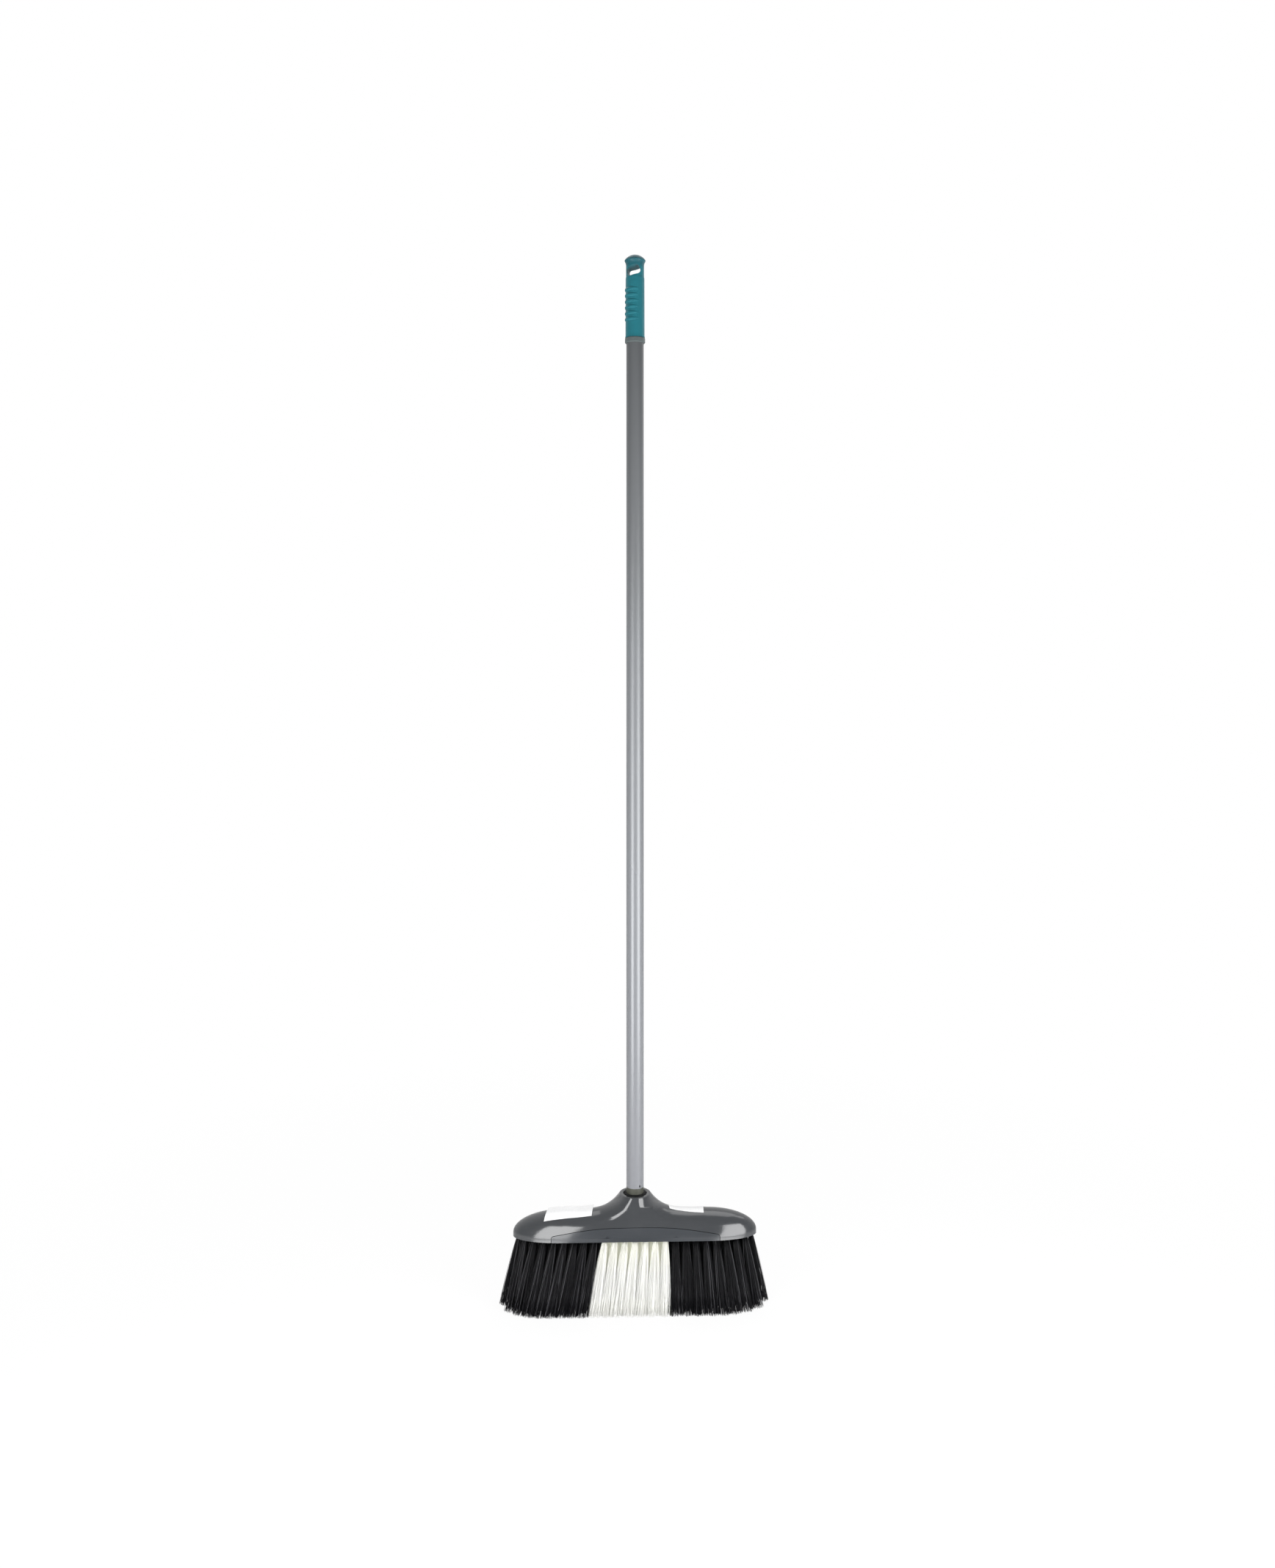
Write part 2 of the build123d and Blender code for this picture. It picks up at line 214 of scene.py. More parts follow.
MIDDLE_LINE = 0.0001
RIDGE_TOP = 0.1365
RIDGE_KNEE = 0.1235
RIDGE_FOOT = 0.112
SHOULDER_FOOT = 0.104
LEFT_RIDGE_AT_TOP = 0.0043
RIGHT_RIDGE_AT_TOP = 0.0008
SPREAD_TO_KNEE = 0.0083
RIGHT_SHARE_TO_KNEE = 0.41
SPREAD_TO_FOOT = 0.0157
SPREAD_TO_SHOULDER = 0.0400
RIGHT_RIDGE_ENDS = (0.1275, 0.1257)
RIGHT_END_STEP = 0.0180
RIGHT_END_ROUNDING = 0.02
ROUNDING_HEIGHTS = (0.112, 0.136)
ROUNDING_AT_FOOT = 0.0062
ROUNDING_AT_TOP = 0.0026
LEFT_STEEPER = 0.7
LEFT_STEEPER_ALONG = (0.045, 0.020)
LEFT_STEEPER_FROM = (0.110, 0.116)
RIGHT_STEEPER_LOW = 1.3
RIGHT_STEEPER_HIGH = 0.2
RIGHT_STEEPER_ALONG = (0.040, 0.014)
RIGHT_STEEPER_FROM = (0.118, 0.124)
RIGHT_STEEPER_EASES = (0.126, 0.137)
LEFT_BOW = -0.175
RIGHT_BOW = 0.03
BOW_ALONG = (0.043, 0.088)
LEAN = 0.03
RIGHT_LEAN_FACTOR = 2.4
LEAN_ALONG = (0.05, 0.07)
LEAN_HEIGHTS = (0.088, 0.106)
SKIRT_FLARE = 0.18
SKIRT_HEIGHTS = (0.104, 0.088)
PANEL_FLARE = 0.10
PANEL_ALONG = (0.050, 0.010)
PANEL_HEIGHTS = (0.124, 0.114)


def neck_ridges(s, along, right, z):
    """How much of the neck's sideways normal is kept: none on the flat panel, all past its two ridges."""
    right_end = s.product(right, s.span(z, *RIGHT_RIDGE_ENDS))
    to_knee = s.span(z, RIDGE_KNEE, RIDGE_TOP, to_low=SPREAD_TO_KNEE, to_high=0.0)
    ridge = s.total(
        s.span(right, 0, 1, to_low=LEFT_RIDGE_AT_TOP, to_high=RIGHT_RIDGE_AT_TOP),
        s.product(to_knee, s.span(right, 0, 1, to_low=1.0, to_high=RIGHT_SHARE_TO_KNEE)),
        s.span(z, RIDGE_FOOT, RIDGE_KNEE, to_low=SPREAD_TO_FOOT, to_high=0.0),
        s.span(z, SHOULDER_FOOT, RIDGE_FOOT, to_low=SPREAD_TO_SHOULDER, to_high=0.0),
        s.span(right_end, 0, 1, to_high=RIGHT_END_STEP),
    )
    rounding = s.product(
        s.span(z, *ROUNDING_HEIGHTS, to_low=ROUNDING_AT_FOOT, to_high=ROUNDING_AT_TOP),
        s.span(right_end, 0, 1, to_low=1.0, to_high=RIGHT_END_ROUNDING),
    )
    past_ridge = s.span(s.maths("DIVIDE", s.maths("SUBTRACT", along, ridge), rounding), -1.0, 1.0)
    steeper_right = s.product(
        right,
        s.span(along, *RIGHT_STEEPER_ALONG),
        s.span(z, *RIGHT_STEEPER_FROM),
        s.span(z, *RIGHT_STEEPER_EASES, to_low=RIGHT_STEEPER_LOW, to_high=RIGHT_STEEPER_HIGH),
    )
    steeper_left = s.product(
        s.span(right, 0, 1, to_low=LEFT_STEEPER, to_high=0.0),
        s.span(along, *LEFT_STEEPER_ALONG),
        s.span(z, *LEFT_STEEPER_FROM),
    )
    return s.product(past_ridge, s.total(steeper_right, steeper_left, 1.0))


def wing_bow(s, along, right, z):
    """Turn of the wings' normal along the head: a slight bow, and a lean from foot to top."""
    bow = s.product(s.span(right, 0, 1, to_low=LEFT_BOW, to_high=RIGHT_BOW), s.span(along, *BOW_ALONG))
    lean = s.product(
        s.span(z, *LEAN_HEIGHTS, to_low=LEAN, to_high=-LEAN),
        s.span(along, *LEAN_ALONG),
        s.span(right, 0, 1, to_low=1.0, to_high=RIGHT_LEAN_FACTOR),
    )
    return s.total(bow, lean)


def skirt_flare(s, along, z):
    """Upward turn of the normal on the flared foot of the head and on the foot of the front panel."""
    skirt = s.span(z, *SKIRT_HEIGHTS, to_high=SKIRT_FLARE)
    panel = s.product(s.span(along, *PANEL_ALONG), s.span(z, *PANEL_HEIGHTS, to_high=PANEL_FLARE))
    return s.total(skirt, panel)


def head_form(s):
    """Normal of the head: a flat panel on the neck between two ridges, bowed wings and a flared foot."""
    x, z = s.axis("X"), s.axis("Z")
    along = s.maths("ABSOLUTE", x)
    right = s.span(x, -MIDDLE_LINE, MIDDLE_LINE)
    kept = s.xyz(neck_ridges(s, along, right, z), 1.0, 1.0)
    added = s.xyz(wing_bow(s, along, right, z), 0.0, skirt_flare(s, along, z))
    normal = s.node("ShaderNodeNewGeometry").outputs["Normal"]
    return s.vector("NORMALIZE", s.vector("MULTIPLY_ADD", normal, kept, added))


# Materials, with the heights in metres between which a finish changes

ROOT_SHADE_HEIGHTS = (0.045, 0.084)
TIP_SHADE_HEIGHTS = (0.012, 0.003)
FRONT_ROW_AT_FLOOR = 0.027
FRONT_ROW_AT_BASE = 0.0135
BEHIND_FRONT_ROW = (0.002, -0.003)
GLOW_HEIGHTS = (0.020, 0.070)
GLOW_TINT = (0.86, 0.87, 0.72, 1)
TIP_GLOW_HEIGHTS = (0.024, 0.006)
TIP_GLOW = 0.065
TUBE_DULLS = (0.45, 0.80)


def moulded_plastic(name, deep, light, rough, grain, form=None, shine=0.5, painted_shade_above=None):
    """Injection-moulded plastic: faint flow marks, a fine grain and soft scuffs, and painted shade above a
    height where one is given.
    """
    s = Finish(name)
    flow = s.noise(14, detail=4, roughness=0.6, stretch=(1, 2.2, 2.2))
    scuffs = s.noise(60, detail=6, roughness=0.7, stretch=(0.35, 1.6, 1.0))
    scuffed = tuple(min(1, channel * 1.7 + 0.03) for channel in light)
    colour = s.ramp(flow, (0.3, deep), (0.72, light))
    colour = s.mix(s.span(scuffs, 0.62, 0.8, to_high=0.16), colour, scuffed)
    # Painted shade: the tone turns darker above the given height, standing in for shade and not for the
    # plastic's own colour
    if painted_shade_above:
        start, end, tone = painted_shade_above
        colour = s.mix(s.span(s.axis("Z"), start, end), colour, tone)
    s.set(
        Base_Color=colour,
        Roughness=s.span(scuffs, 0.3, 0.75, *rough),
        Specular_IOR_Level=shine,
    )
    fine_grain = s.noise(1800, detail=2, roughness=0.5)
    s.bump(fine_grain, strength=grain, distance=0.00015, normal=form(s) if form else None)
    return s.material


def painted_glow(s, strength):
    """Painted light: white filaments glow behind the front row and low at the tips, in place of the light
    they pass on to each other.
    """
    height = s.axis("Z")
    front_row = s.span(height, 0.0, TUFT_FACE, to_low=FRONT_ROW_AT_FLOOR, to_high=FRONT_ROW_AT_BASE)
    past_front = s.maths("SUBTRACT", s.maths("ABSOLUTE", s.axis("Y")), front_row)
    inside = s.product(
        s.span(past_front, *BEHIND_FRONT_ROW),
        s.span(height, *GLOW_HEIGHTS, to_high=strength),
    )
    tips = s.span(height, *TIP_GLOW_HEIGHTS, to_high=TIP_GLOW)
    # Painted light: emission on the filaments, not a lamp
    s.set(Emission_Color=GLOW_TINT, Emission_Strength=s.total(inside, tips))


def bristle_filament(name, tones, root_shade, tip_light_and_shade, rough, shine, glow=0.0):
    """Drawn filament: tone changes from one filament to the next, with painted shade towards the root and a
    painted tone at the tip, lighter on dark filaments and a touch darker on white ones.
    """
    s = Finish(name)
    tone = s.node("ShaderNodeAttribute", attribute_name="filament_tone").outputs["Fac"]
    height = s.axis("Z")
    colour = s.ramp(tone, *tones)
    colour = s.mix(s.span(height, *ROOT_SHADE_HEIGHTS), colour, root_shade, "MULTIPLY")
    colour = s.mix(s.span(height, *TIP_SHADE_HEIGHTS), colour, tip_light_and_shade, "MULTIPLY")
    drawn = s.noise(900, detail=2, roughness=0.5, stretch=(1, 1, 0.05))
    s.set(Base_Color=colour, Roughness=s.span(drawn, 0.3, 0.7, *rough), Specular_IOR_Level=shine)
    if glow:
        painted_glow(s, glow)
    return s.material


def coated_tube():
    """Silver grey coating over steel with long faint drawing marks; its tone is painted shade and
    reflection, darker at the grip's end and lighter low down.
    """
    s = Finish("silver_coating")
    height = s.axis("Z")
    # Painted shade and reflection: the tone gets darker up the tube, with a step a little over halfway up
    painted_light_and_shade = s.ramp(
        s.span(height, TUBE_FOOT, TUBE_TOP),
        (0.0, (0.182, 0.187, 0.202)),
        (0.3, (0.195, 0.202, 0.215)),
        (0.60, (0.170, 0.177, 0.187)),
        (0.66, (0.150, 0.157, 0.164)),
        (1.0, (0.074, 0.079, 0.084)),
    )
    marks = s.noise(110, detail=0, roughness=0.5, stretch=(1, 1, 0.012))
    polish = s.noise(90, detail=0, roughness=0.5, stretch=(1, 1, 0.03))
    duller_upwards = s.span(height, *TUBE_DULLS, to_high=0.13)
    s.set(
        Base_Color=s.mix(s.span(marks, 0.30, 0.70, to_low=0.02, to_high=0.12), painted_light_and_shade, (0.36, 0.375, 0.39)),
        Roughness=s.total(s.span(polish, 0.3, 0.7, to_low=0.22, to_high=0.26), duller_upwards),
        Metallic=0.15,
        Specular_IOR_Level=0.42,
    )
    s.bump(marks, strength=0.01, distance=0.0002)
    return s.material


def rubber_washer():
    """Black rubber with a dusty bloom."""
    s = Finish("black_rubber")
    bloom = s.noise(120, detail=4)
    s.set(
        Base_Color=s.ramp(bloom, (0.3, (0.004, 0.004, 0.004)), (0.75, (0.014, 0.014, 0.014))),
        Roughness=s.span(s.noise(400), 0.3, 0.7, to_low=0.6, to_high=0.8),
        Specular_IOR_Level=0.2,
    )
    s.bump(s.noise(1500, detail=2), strength=0.2, distance=0.0001)
    return s.material


def staple_wire():
    """Drawn steel wire."""
    s = Finish("drawn_wire")
    drawn = s.noise(300, roughness=0.6, stretch=(0.1, 1, 1))
    s.set(
        Base_Color=s.ramp(drawn, (0.3, (0.5, 0.5, 0.49)), (0.7, (0.68, 0.68, 0.66))),
        Roughness=s.span(s.noise(800, detail=2), 0.3, 0.7, to_low=0.25, to_high=0.4),
        Metallic=1.0,
    )
    return s.material


def blank_paper():
    """White label paper with faint fibres."""
    s = Finish("label_paper")
    fibres = s.noise(500, detail=5, roughness=0.7, stretch=(1, 0.4, 0.4))
    s.set(
        Base_Color=s.ramp(fibres, (0.3, (0.68, 0.68, 0.68)), (0.7, (0.755, 0.755, 0.76))),
        Roughness=s.span(fibres, 0.3, 0.7, to_low=0.5, to_high=0.65),
    )
    s.bump(fibres, strength=0.1, distance=0.0001)
    return s.material


cover_plastic = moulded_plastic(
    "grey_cover",
    deep=(0.028, 0.0305, 0.034),
    light=(0.0345, 0.037, 0.0405),
    rough=(0.12, 0.20),
    grain=0.05,
    form=head_form,
    shine=0.8,
)
base_plastic = moulded_plastic(
    "grey_base",
    deep=(0.0295, 0.0325, 0.037),
    light=(0.036, 0.040, 0.0455),
    rough=(0.14, 0.22),
    grain=0.05,
    form=head_form,
    shine=0.6,
)
grip_plastic = moulded_plastic(
    "teal_grip",
    deep=(0.0095, 0.137, 0.170),
    light=(0.0145, 0.168, 0.208),
    rough=(0.40, 0.53),
    grain=0.04,
    shine=0.3,
    # Painted shade on the cap: its top is painted a darker teal where it lies in shade
    painted_shade_above=(CAP_FOOT, CAP_RIM, (0.012, 0.104, 0.132)),
)
ring_plastic = moulded_plastic(
    "grey_ring",
    deep=(0.088, 0.111, 0.113),
    light=(0.099, 0.122, 0.124),
    rough=(0.4, 0.55),
    grain=0.05,
)
ferrule_plastic = moulded_plastic(
    "olive_ferrule",
    deep=(0.036, 0.038, 0.027),
    light=(0.052, 0.053, 0.040),
    rough=(0.5, 0.6),
    grain=0.1,
    # Painted shade: the ferrule above the tube's foot, inside the tube, is painted near black for the
    # tube's shade
    painted_shade_above=(TUBE_FOOT, TUBE_FOOT + TUBE_EDGE, (0.002, 0.002, 0.002)),
)
dark_bristle = bristle_filament(
    "dark_filament",
    tones=(
        (0.0, (0.0035, 0.0035, 0.0045)),
        (0.86, (0.006, 0.006, 0.008)),
        (0.91, (0.05, 0.05, 0.057)),
        (1.0, (0.14, 0.14, 0.15)),
    ),
    root_shade=(0.6, 0.6, 0.6),
    # A factor over one: painted light on the tips near the floor
    tip_light_and_shade=(1.2, 1.2, 1.2),
    rough=(0.34, 0.52),
    shine=0.2,
)
white_bristle = bristle_filament(
    "white_filament",
    tones=(
        (0.0, (0.875, 0.878, 0.835)),
        (0.35, (0.937, 0.937, 0.912)),
        (1.0, (0.957, 0.957, 0.940)),
    ),
    root_shade=(0.98, 0.98, 0.92),
    tip_light_and_shade=(0.99, 0.99, 1.0),
    rough=(0.42, 0.60),
    shine=0.45,
    glow=0.25,
)

node_finish = {
    "head_cover": cover_plastic,
    "bristle_base": base_plastic,
    "tuft_staples": staple_wire(),
    "friction_washer": rubber_washer(),
    "thread_ferrule": ferrule_plastic,
    "handle_tube": coated_tube(),
    "grip": grip_plastic,
    "grip_ring": ring_plastic,
}
for node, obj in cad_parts.items():
    finish = node_finish.get(node) or (white_bristle if "centre" in node else dark_bristle)
    obj.data.materials.clear()
    obj.data.materials.append(finish)


# Geometry Nodes


class ShapeTree(Wiring):
    """A Geometry Nodes tree with named inputs, which makes a piece from a mesh."""

    def __init__(self, name, **inputs):
        super().__init__(bpy.data.node_groups.new(name, "GeometryNodeTree"))
        self.identifiers = {}
        for label, kind in inputs.items():
            self.identifiers[label] = self.socket(label.replace("_", " "), "INPUT", kind).identifier
        self.socket("Geometry", "OUTPUT", "Geometry")
        self.entry = self.node("NodeGroupInput")
        self.exit = self.node("NodeGroupOutput")

    def socket(self, label, side, kind):
        return self.tree.interface.new_socket(label, in_out=side, socket_type="NodeSocket" + kind)

    def input(self, label):
        return self.entry.outputs[label.replace("_", " ")]

    def shape(self, kind, sockets, **settings):
        """Adds a node and gives the geometry it makes."""
        return self.node(kind, sockets, **settings).outputs[0]

    def scaled(self, vector, factor):
        return self.node("ShaderNodeVectorMath", {0: vector, "Scale": factor}, operation="SCALE").outputs[0]

    def position(self):
        return self.node("GeometryNodeInputPosition").outputs[0]

    def random(self, low, high, seed):
        """A random number, by the number sockets of the node, which has others of the same names."""
        sockets = {2: low, 3: high, "Seed": seed}
        return self.node("FunctionNodeRandomValue", sockets, data_type="FLOAT").outputs[1]

    def keep(self, geometry, name, value, kind="FLOAT_VECTOR"):
        sockets = {"Geometry": geometry, "Name": name, "Value": value}
        return self.shape("GeometryNodeStoreNamedAttribute", sockets, data_type=kind)

    def kept(self, name):
        made = self.node("GeometryNodeInputNamedAttribute", {"Name": name}, data_type="FLOAT_VECTOR")
        return made.outputs["Attribute"]

    def close(self, geometry):
        sockets = {"Geometry": geometry, "Material": self.input("Finish")}
        self.feed(self.exit.inputs[0], self.shape("GeometryNodeSetMaterial", sockets))

    def build(self, name, mesh, **values):
        """Runs the tree on a mesh and returns the result as a plain mesh object."""
        source = bpy.data.objects.new(name + "_source", mesh)
        bpy.context.scene.collection.objects.link(source)
        modifier = source.modifiers.new("nodes", "NODES")
        modifier.node_group = self.tree
        for label, value in values.items():
            modifier[self.identifiers[label]] = value
        bpy.context.view_layer.update()
        evaluated = source.evaluated_get(bpy.context.evaluated_depsgraph_get())
        result = bpy.data.objects.new(name, bpy.data.meshes.new_from_object(evaluated))
        bpy.context.scene.collection.objects.link(result)
        source.modifiers.clear()
        bpy.data.objects.remove(source)
        return result


def filament_tree():
    """Fills every tuft with filaments that leave its root and fan out to their tips."""
    t = ShapeTree(
        "bristle_filaments",
        Tufts="Geometry",
        Filaments_in_a_tuft="Int",
        Root_radius="Float",
        Spread_along="Float",
        Spread_across="Float",
        Fan_curve="Float",
        Filament_radius="Float",
        Taper="Float",
        Uneven_cut="Float",
        Bow="Float",
        Seed="Int",
        Finish="Material",
    )
    seed = t.input("Seed")
    copied = {"Geometry": t.input("Tufts"), "Amount": t.input("Filaments_in_a_tuft")}
    points = t.shape("GeometryNodeDuplicateElements", copied, domain="POINT")

    angle = t.random(0.0, math.tau, seed)
    reach = t.maths("SQRT", t.random(0.0, 1.0, t.total(seed, 1)))
    disc = t.xyz(t.product(t.maths("COSINE", angle), reach), t.product(t.maths("SINE", angle), reach), 0.0)
    root_radius = t.input("Root_radius")
    in_tuft = t.scaled(disc, root_radius)
    root = t.vector("ADD", t.position(), in_tuft)
    tip = t.vector("ADD", t.kept("tuft_tip"), in_tuft)
    cut = t.random(0.0, t.input("Uneven_cut"), t.total(seed, 2))
    tip = t.vector("ADD", tip, t.scaled(t.vector("SUBTRACT", root, tip), cut))
    widening = t.xyz(
        t.maths("SUBTRACT", t.input("Spread_along"), root_radius),
        t.maths("SUBTRACT", t.input("Spread_across"), root_radius),
        0.0,
    )
    bow = t.input("Bow")
    bow_back = t.product(bow, -1.0)
    sideways = [t.random(bow_back, bow, t.total(seed, step)) for step in (3, 4)]

    points = t.keep(points, "filament_root", root)
    points = t.keep(points, "filament_tip", tip)
    points = t.keep(points, "filament_fan", t.vector("MULTIPLY", disc, widening))
    points = t.keep(points, "filament_bow", t.xyz(*sideways, 0.0))
    points = t.keep(points, "filament_tone", t.random(0.0, 1.0, t.total(seed, 5)), "FLOAT")

    three_sided = {"Vertices": 3, "Side Segments": 4, "Fill Segments": 1, "Radius": 1.0, "Depth": 1.0}
    strand = t.shape("GeometryNodeMeshCylinder", three_sided)
    strand = t.keep(strand, "strand_place", t.position())
    strands = t.shape("GeometryNodeInstanceOnPoints", {"Points": points, "Instance": strand})
    strands = t.shape("GeometryNodeRealizeInstances", {"Geometry": strands})

    on_strand = t.node("ShaderNodeSeparateXYZ", {0: t.kept("strand_place")}).outputs
    run = t.maths("SUBTRACT", 0.5, on_strand["Z"])
    start = t.kept("filament_root")
    centre = t.vector("ADD", start, t.scaled(t.vector("SUBTRACT", t.kept("filament_tip"), start), run))
    opening = t.maths("POWER", run, t.input("Fan_curve"))
    centre = t.vector("ADD", centre, t.scaled(t.kept("filament_fan"), opening))
    # The bow is a parabola, full at the middle of the filament and nothing at its ends
    swell = t.product(run, t.maths("SUBTRACT", 1.0, run), 4.0)
    centre = t.vector("ADD", centre, t.scaled(t.kept("filament_bow"), swell))
    narrowing = t.maths("SUBTRACT", 1.0, t.product(run, t.input("Taper")))
    width = t.product(t.input("Filament_radius"), narrowing)
    side = t.scaled(t.xyz(on_strand["X"], on_strand["Y"], 0.0), width)
    placed = {"Geometry": strands, "Position": t.vector("ADD", centre, side)}
    strands = t.shape("GeometryNodeSetPosition", placed)

    workings = ("strand_place", "tuft_tip", "filament_root", "filament_tip", "filament_fan", "filament_bow")
    for name in workings:
        strands = t.shape("GeometryNodeRemoveAttribute", {"Geometry": strands, "Name": name})
    t.close(t.shape("GeometryNodeSetShadeSmooth", {"Geometry": strands}))
    return t


def thread_tree():
    """A screw thread: a ridge wound along the shank."""
    t = ShapeTree(
        "screw_thread",
        Start="Geometry",
        Turns="Float",
        Path_radius="Float",
        Length="Float",
        Foot="Float",
        Ridge_width="Float",
        Ridge_crest="Float",
        Ridge_height="Float",
        Finish="Material",
    )
    winding = {
        "Resolution": 40,
        "Rotations": t.input("Turns"),
        "Start Radius": t.input("Path_radius"),
        "End Radius": t.input("Path_radius"),
        "Height": t.input("Length"),
        "Reverse": False,
    }
    path = t.shape("GeometryNodeCurveSpiral", winding)
    path = t.shape("GeometryNodeSetCurveNormal", {"Curve": path}, mode="Z_UP")
    section = {
        "Bottom Width": t.input("Ridge_width"),
        "Top Width": t.input("Ridge_crest"),
        "Offset": 0.0,
        "Height": t.input("Ridge_height"),
    }
    ridge = t.shape("GeometryNodeCurvePrimitiveQuadrilateral", section, mode="TRAPEZOID")
    outwards = (0.0, 0.0, -math.pi / 2)
    ridge = t.shape("GeometryNodeTransform", {"Geometry": ridge, "Rotation": outwards})
    wound = t.shape("GeometryNodeCurveToMesh", {"Curve": path, "Profile Curve": ridge, "Fill Caps": True})
    raised = t.xyz(0.0, 0.0, t.input("Foot"))
    wound = t.shape("GeometryNodeTransform", {"Geometry": wound, "Translation": raised})
    t.close(t.shape("GeometryNodeRealizeInstances", {"Geometry": wound}))
    return t


# Bristles, one piece for each row and colour zone


def row_path(inset):
    """The closed line of a row inside the head's plan, from the middle of the front round to it again."""
    depth = HEAD_HALF_DEPTH - inset
    end = HEAD_END - inset
    turns = [math.pi * k / ROUND_END_STEPS for k in range(ROUND_END_STEPS + 1)]
    path = [(0.0, -depth)]
    path += [(STRAIGHT_HALF + end * math.sin(a), -depth * math.cos(a)) for a in turns]
    path += [(-STRAIGHT_HALF - end * math.sin(a), depth * math.cos(a)) for a in turns]
    return path + [(0.0, -depth)]


def row_roots(row):
    """Tuft places of a row, round the plan or straight for the middle row, and the step between them."""
    inset = ROW_INSETS[row]
    if row == "middle":
        reach = STRAIGHT_HALF + HEAD_END - inset
        gaps = 2 * round(reach / TUFT_PITCH)
        return [(reach * (2 * k / gaps - 1), 0.0) for k in range(gaps + 1)], 2 * reach / gaps
    path = row_path(inset)
    lengths = [0.0]
    for a, b in zip(path, path[1:]):
        lengths.append(lengths[-1] + math.dist(a, b))
    count = 2 * round(lengths[-1] / (2 * TUFT_PITCH))
    step = lengths[-1] / count
    shift = 0.5 if row == STAGGERED_ROW else 0.0
    roots = []
    index = 0
    for k in range(count):
        goal = (k + shift) * step
        while lengths[index + 1] < goal:
            index += 1
        share = (goal - lengths[index]) / (lengths[index + 1] - lengths[index])
        a, b = path[index], path[index + 1]
        roots.append((a[0] + (b[0] - a[0]) * share, a[1] + (b[1] - a[1]) * share))
    return roots, step


def tuft_tip(root, chance):
    """Where a tuft's middle reaches the floor: fanned outwards, and set to the left along the head."""
    fan_along = TIP_REACH_ALONG / (STRAIGHT_HALF + HEAD_END - ROW_INSETS["outer"])
    fan_across = TIP_REACH_ACROSS / (HEAD_HALF_DEPTH - ROW_INSETS["outer"])
    x = root[0] * fan_along
    share = x / TIP_REACH_ALONG
    set_left = TIP_SET * (1 - TIP_SET_SKEW * share)
    scatter = chance.uniform(-TIP_SCATTER, TIP_SCATTER)
    x += (set_left + scatter) * (1 - share ** 2)
    x += LEFT_END_SET * max(0, -share) ** 3
    return (x, root[1] * fan_across, TIP_HEIGHT)


def tuft_mesh(name, roots):
    """Tuft roots as loose points that know their tips."""
    chance = random.Random(TIP_SCATTER_SEED)
    mesh = bpy.data.meshes.new(name)
    mesh.from_pydata([(x, y, TUFT_FACE + ROOT_DEPTH) for x, y in roots], [], [])
    tips = mesh.attributes.new("tuft_tip", "FLOAT_VECTOR", "POINT")
    for place, root in zip(tips.data, roots):
        place.vector = tuft_tip(root, chance)
    return mesh


def colour_zone(row, root, white_half):
    """Name of the part of a row that a tuft belongs to."""
    if abs(root[0]) > white_half:
        return "left" if root[0] < 0 else "right"
    if row == "middle":
        return "centre"
    return "centre_front" if root[1] < 0 else "centre_rear"


def row_zones(row):
    """The tuft places of a row, by colour zone."""
    roots, step = row_roots(row)
    white_half = (WHITE_TUFTS - (row == STAGGERED_ROW)) * step / 2
    zones = {}
    for root in roots:
        zones.setdefault(colour_zone(row, root, white_half), []).append(root)
    return zones


filaments = filament_tree()
seed = FIRST_SEED
for row in ROW_INSETS:
    for zone, roots in row_zones(row).items():
        white = zone.startswith("centre")
        brush = filaments.build(
            f"filaments_{zone}_{row}",
            tuft_mesh(f"tufts_{zone}_{row}", roots),
            Filaments_in_a_tuft=FILAMENTS_IN_A_TUFT,
            Root_radius=ROOT_RADIUS,
            Spread_along=SPREAD_ALONG,
            Spread_across=SPREAD_ACROSS,
            Fan_curve=FAN_CURVE,
            Filament_radius=FILAMENT_RADIUS,
            Taper=FILAMENT_TAPER,
            Uneven_cut=UNEVEN_WHITE_CUT if white else UNEVEN_DARK_CUT,
            Bow=FILAMENT_BOW,
            Seed=seed,
            Finish=white_bristle if white else dark_bristle,
        )
        seed += SEED_STEP
        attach(brush, "head")
        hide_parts(f"bristles_{zone}_{row}")


# Thread on the ferrule's shank

thread = thread_tree().build(
    "ferrule_thread",
    bpy.data.meshes.new("thread_start"),
    Turns=THREAD_LENGTH / THREAD_PITCH,
    Path_radius=THREAD_PATH_RADIUS,
    Length=THREAD_LENGTH,
    Foot=THREAD_FOOT,
    Ridge_width=THREAD_RIDGE_WIDTH,
    Ridge_crest=THREAD_RIDGE_CREST,
    Ridge_height=THREAD_RIDGE_HEIGHT,
    Finish=ferrule_plastic,
)
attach(thread, "handle")


# Blank paper labels on the shoulders of the head


def surface_tree(node):
    """The surface of a solid, to cast rays on."""
    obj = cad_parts[node]
    corners = [obj.matrix_world @ v.co for v in obj.data.vertices]
    return BVHTree.FromPolygons(corners, [list(face.vertices) for face in obj.data.polygons])


def shoulder_point(cover, x, angle, lift):
    """A point just over the head's cover at x, with the angle counted from the front edge over the top."""
    a = math.radians(angle)
    inwards = Vector((0, math.cos(a), -math.sin(a)))
    start = Vector((x, 0, SPINE_HEIGHT)) - inwards * RAY_START
    place, normal, _, _ = cover.ray_cast(start, inwards)
    return place + normal * (lift if normal.dot(inwards) < 0 else -lift)


def label_point(cover, x, angle, lift, leaves):
    """A point of a stiff label, which goes on straight from the angle where it leaves the shoulder."""
    place = shoulder_point(cover, x, min(angle, leaves), lift)
    if angle > leaves:
        straight = (place - shoulder_point(cover, x, leaves - LABEL_LAST_BEND, lift)).normalized()
        place = place + straight * (shoulder_point(cover, x, angle, lift) - place).length
    return place


def between(first, second, share):
    """The point a share of the way from one to the other."""
    return [a + (b - a) * share for a, b in zip(first, second)]


